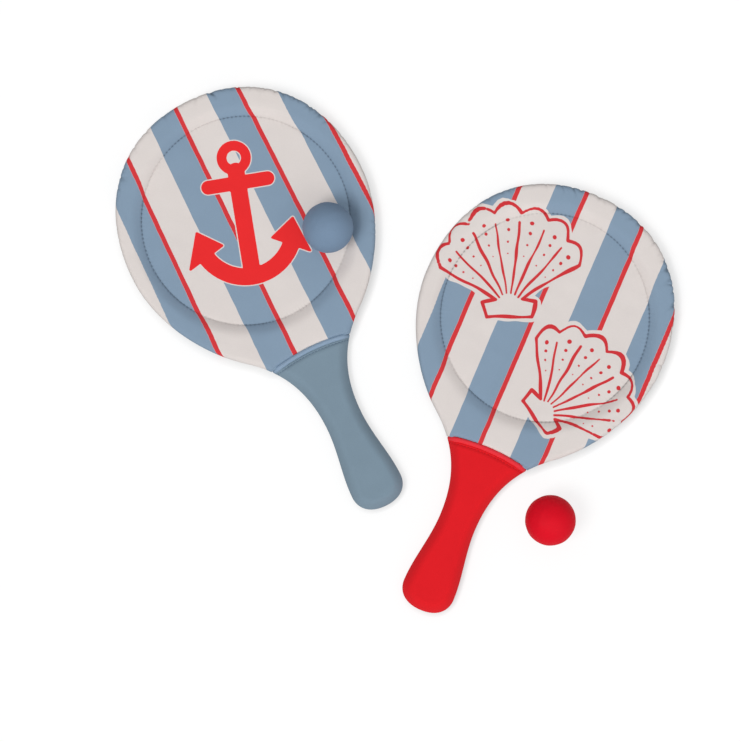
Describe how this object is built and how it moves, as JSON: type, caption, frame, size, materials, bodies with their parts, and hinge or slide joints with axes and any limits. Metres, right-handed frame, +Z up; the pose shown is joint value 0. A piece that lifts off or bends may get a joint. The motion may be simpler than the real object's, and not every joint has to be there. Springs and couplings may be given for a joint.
{
  "type": "beach paddle ball set",
  "caption": "Padded fabric beach paddles with round heads and sleeved grips, lying flat with their soft balls.",
  "frame": {"origin": "middle of the set's footprint, on the surface that the paddles lie on", "axes": "+Z up, square to the paddles' faces; seen from above, +X to the right and +Y away, with both handles towards -Y"},
  "size_m": [0.4944, 0.4658, 0.0575],
  "materials": {
    "blue_paddle_cloth": "smooth knit over thin foam, printed in blue and off-white stripes with a thin red line",
    "red_paddle_cloth": "smooth knit over thin foam, printed in blue and off-white stripes with a thin red line",
    "blue_sleeve": "plain grey-blue knit over foam, matt",
    "red_sleeve": "plain red knit over foam, matt",
    "blue_piping": "light blue rolled piping",
    "red_piping": "bright red rolled piping",
    "moulded_frame": "plain moulded plastic, hidden in the padding",
    "blue_foam_ball": "smooth matt foam rubber, grey-blue",
    "red_foam_ball": "smooth matt foam rubber, red"
  },
  "bodies": {
    "root": {"blue_paddle_front_face": "blue_paddle_cloth", "blue_paddle_back_face": "blue_paddle_cloth", "blue_paddle_grip": "blue_sleeve", "blue_paddle_piping": "blue_piping", "blue_paddle_frame": "moulded_frame", "red_paddle_front_face": "red_paddle_cloth", "red_paddle_back_face": "red_paddle_cloth", "red_paddle_grip": "red_sleeve", "red_paddle_piping": "red_piping", "red_paddle_frame": "moulded_frame", "blue_ball": "blue_foam_ball", "red_ball": "red_foam_ball"}
  },
  "joints": []
}
